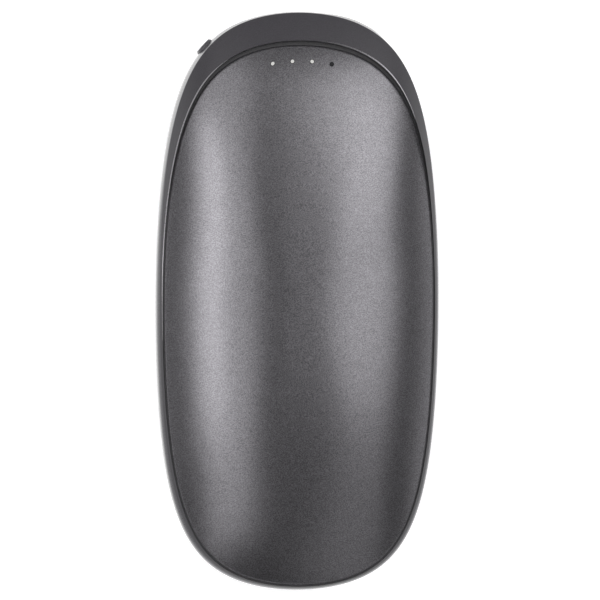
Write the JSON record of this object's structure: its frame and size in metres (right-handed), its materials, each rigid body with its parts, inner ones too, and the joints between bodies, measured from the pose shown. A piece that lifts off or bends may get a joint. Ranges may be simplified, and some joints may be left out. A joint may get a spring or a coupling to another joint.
{
  "type": "rechargeable hand warmer",
  "caption": "Pebble-shaped pocket hand warmer: domed heated metal panels in a collared frame, a sprung power button, charge lamps and charging ports.",
  "frame": {"origin": "centre of the flat resting land under the back panel, at the middle of the object's length and width", "axes": "+Z out of the front panel, +Y along the body towards the collar and ports, +X to the right seen from the front"},
  "size_m": [0.058, 0.1179, 0.0281],
  "materials": {
    "frame_plastic": "fine moulded texture, dark grey",
    "panel_metal": "sand-blasted and anodised, dark grey satin",
    "seal_foam": "black adhesive foam",
    "heater_film": "amber film with etched tracks",
    "pad_felt": "off-white felt",
    "cell_wrap": "shrink wrap, blue",
    "cradle_plastic": "moulded, pale grey",
    "screw_steel": "zinc plated",
    "nickel": "nickel strip",
    "lead_red": "silicone insulation, red",
    "lead_black": "silicone insulation, black",
    "board_mask": "green solder mask on glass epoxy",
    "port_steel": "nickel-plated steel",
    "tongue_white": "moulded, white",
    "tongue_black": "moulded, black",
    "contact_gold": "gold flash",
    "switch_plastic": "moulded, black",
    "plunger_plastic": "moulded, cream",
    "button_plastic": "satin, dark grey",
    "chip_epoxy": "moulded epoxy",
    "ferrite": "pressed ferrite, dark grey",
    "ceramic": "fired ceramic with tinned ends",
    "lamp_lens": "white lamp with a clear lens",
    "guide_clear": "clear moulded light guide",
    "socket_plastic": "moulded, ivory",
    "sensor_bead": "epoxy bead"
  },
  "bodies": {
    "housing": {"frame": "frame_plastic", "front_panel": "panel_metal", "back_panel": "panel_metal", "front_gasket": "seal_foam", "back_gasket": "seal_foam", "front_heater": "heater_film", "back_heater": "heater_film", "front_insulation": "pad_felt", "back_insulation": "pad_felt", "cell_left": "cell_wrap", "cell_right": "cell_wrap", "cell_cradle": "cradle_plastic", "cradle_screws": "screw_steel", "positive_strip": "nickel", "negative_strip": "nickel", "positive_lead": "lead_red", "negative_lead": "lead_black", "main_board": "board_mask", "board_screws": "screw_steel", "output_shell": "port_steel", "output_tongue": "tongue_white", "output_contacts": "contact_gold", "charge_shell": "port_steel", "charge_tongue": "tongue_black", "charge_contacts": "contact_gold", "switch_body": "switch_plastic", "controller_chip": "chip_epoxy", "power_inductor": "ferrite", "capacitors": "ceramic", "indicator_board": "board_mask", "board_link": "switch_plastic", "status_lamps": "lamp_lens", "light_guide": "guide_clear", "front_heater_tail": "heater_film", "back_heater_tail": "heater_film", "tail_sockets": "socket_plastic", "thermal_sensors": "sensor_bead"},
    "power_button": {"power_button": "button_plastic"},
    "switch_plunger": {"switch_plunger": "plunger_plastic"}
  },
  "joints": [
    {"name": "button_press", "type": "slide", "parent": "housing", "child": "power_button", "axis": [0.7489, -0.6627, 0], "range_m": [0, 0.0003], "stiffness_N_per_m": 4000},
    {"name": "plunger_press", "type": "slide", "parent": "housing", "child": "switch_plunger", "axis": [0.7489, -0.6627, 0], "range_m": [0, 0.0003]}
  ],
  "couplings": [
    {"joint": "plunger_press", "follows": "button_press", "ratio": 1}
  ]
}
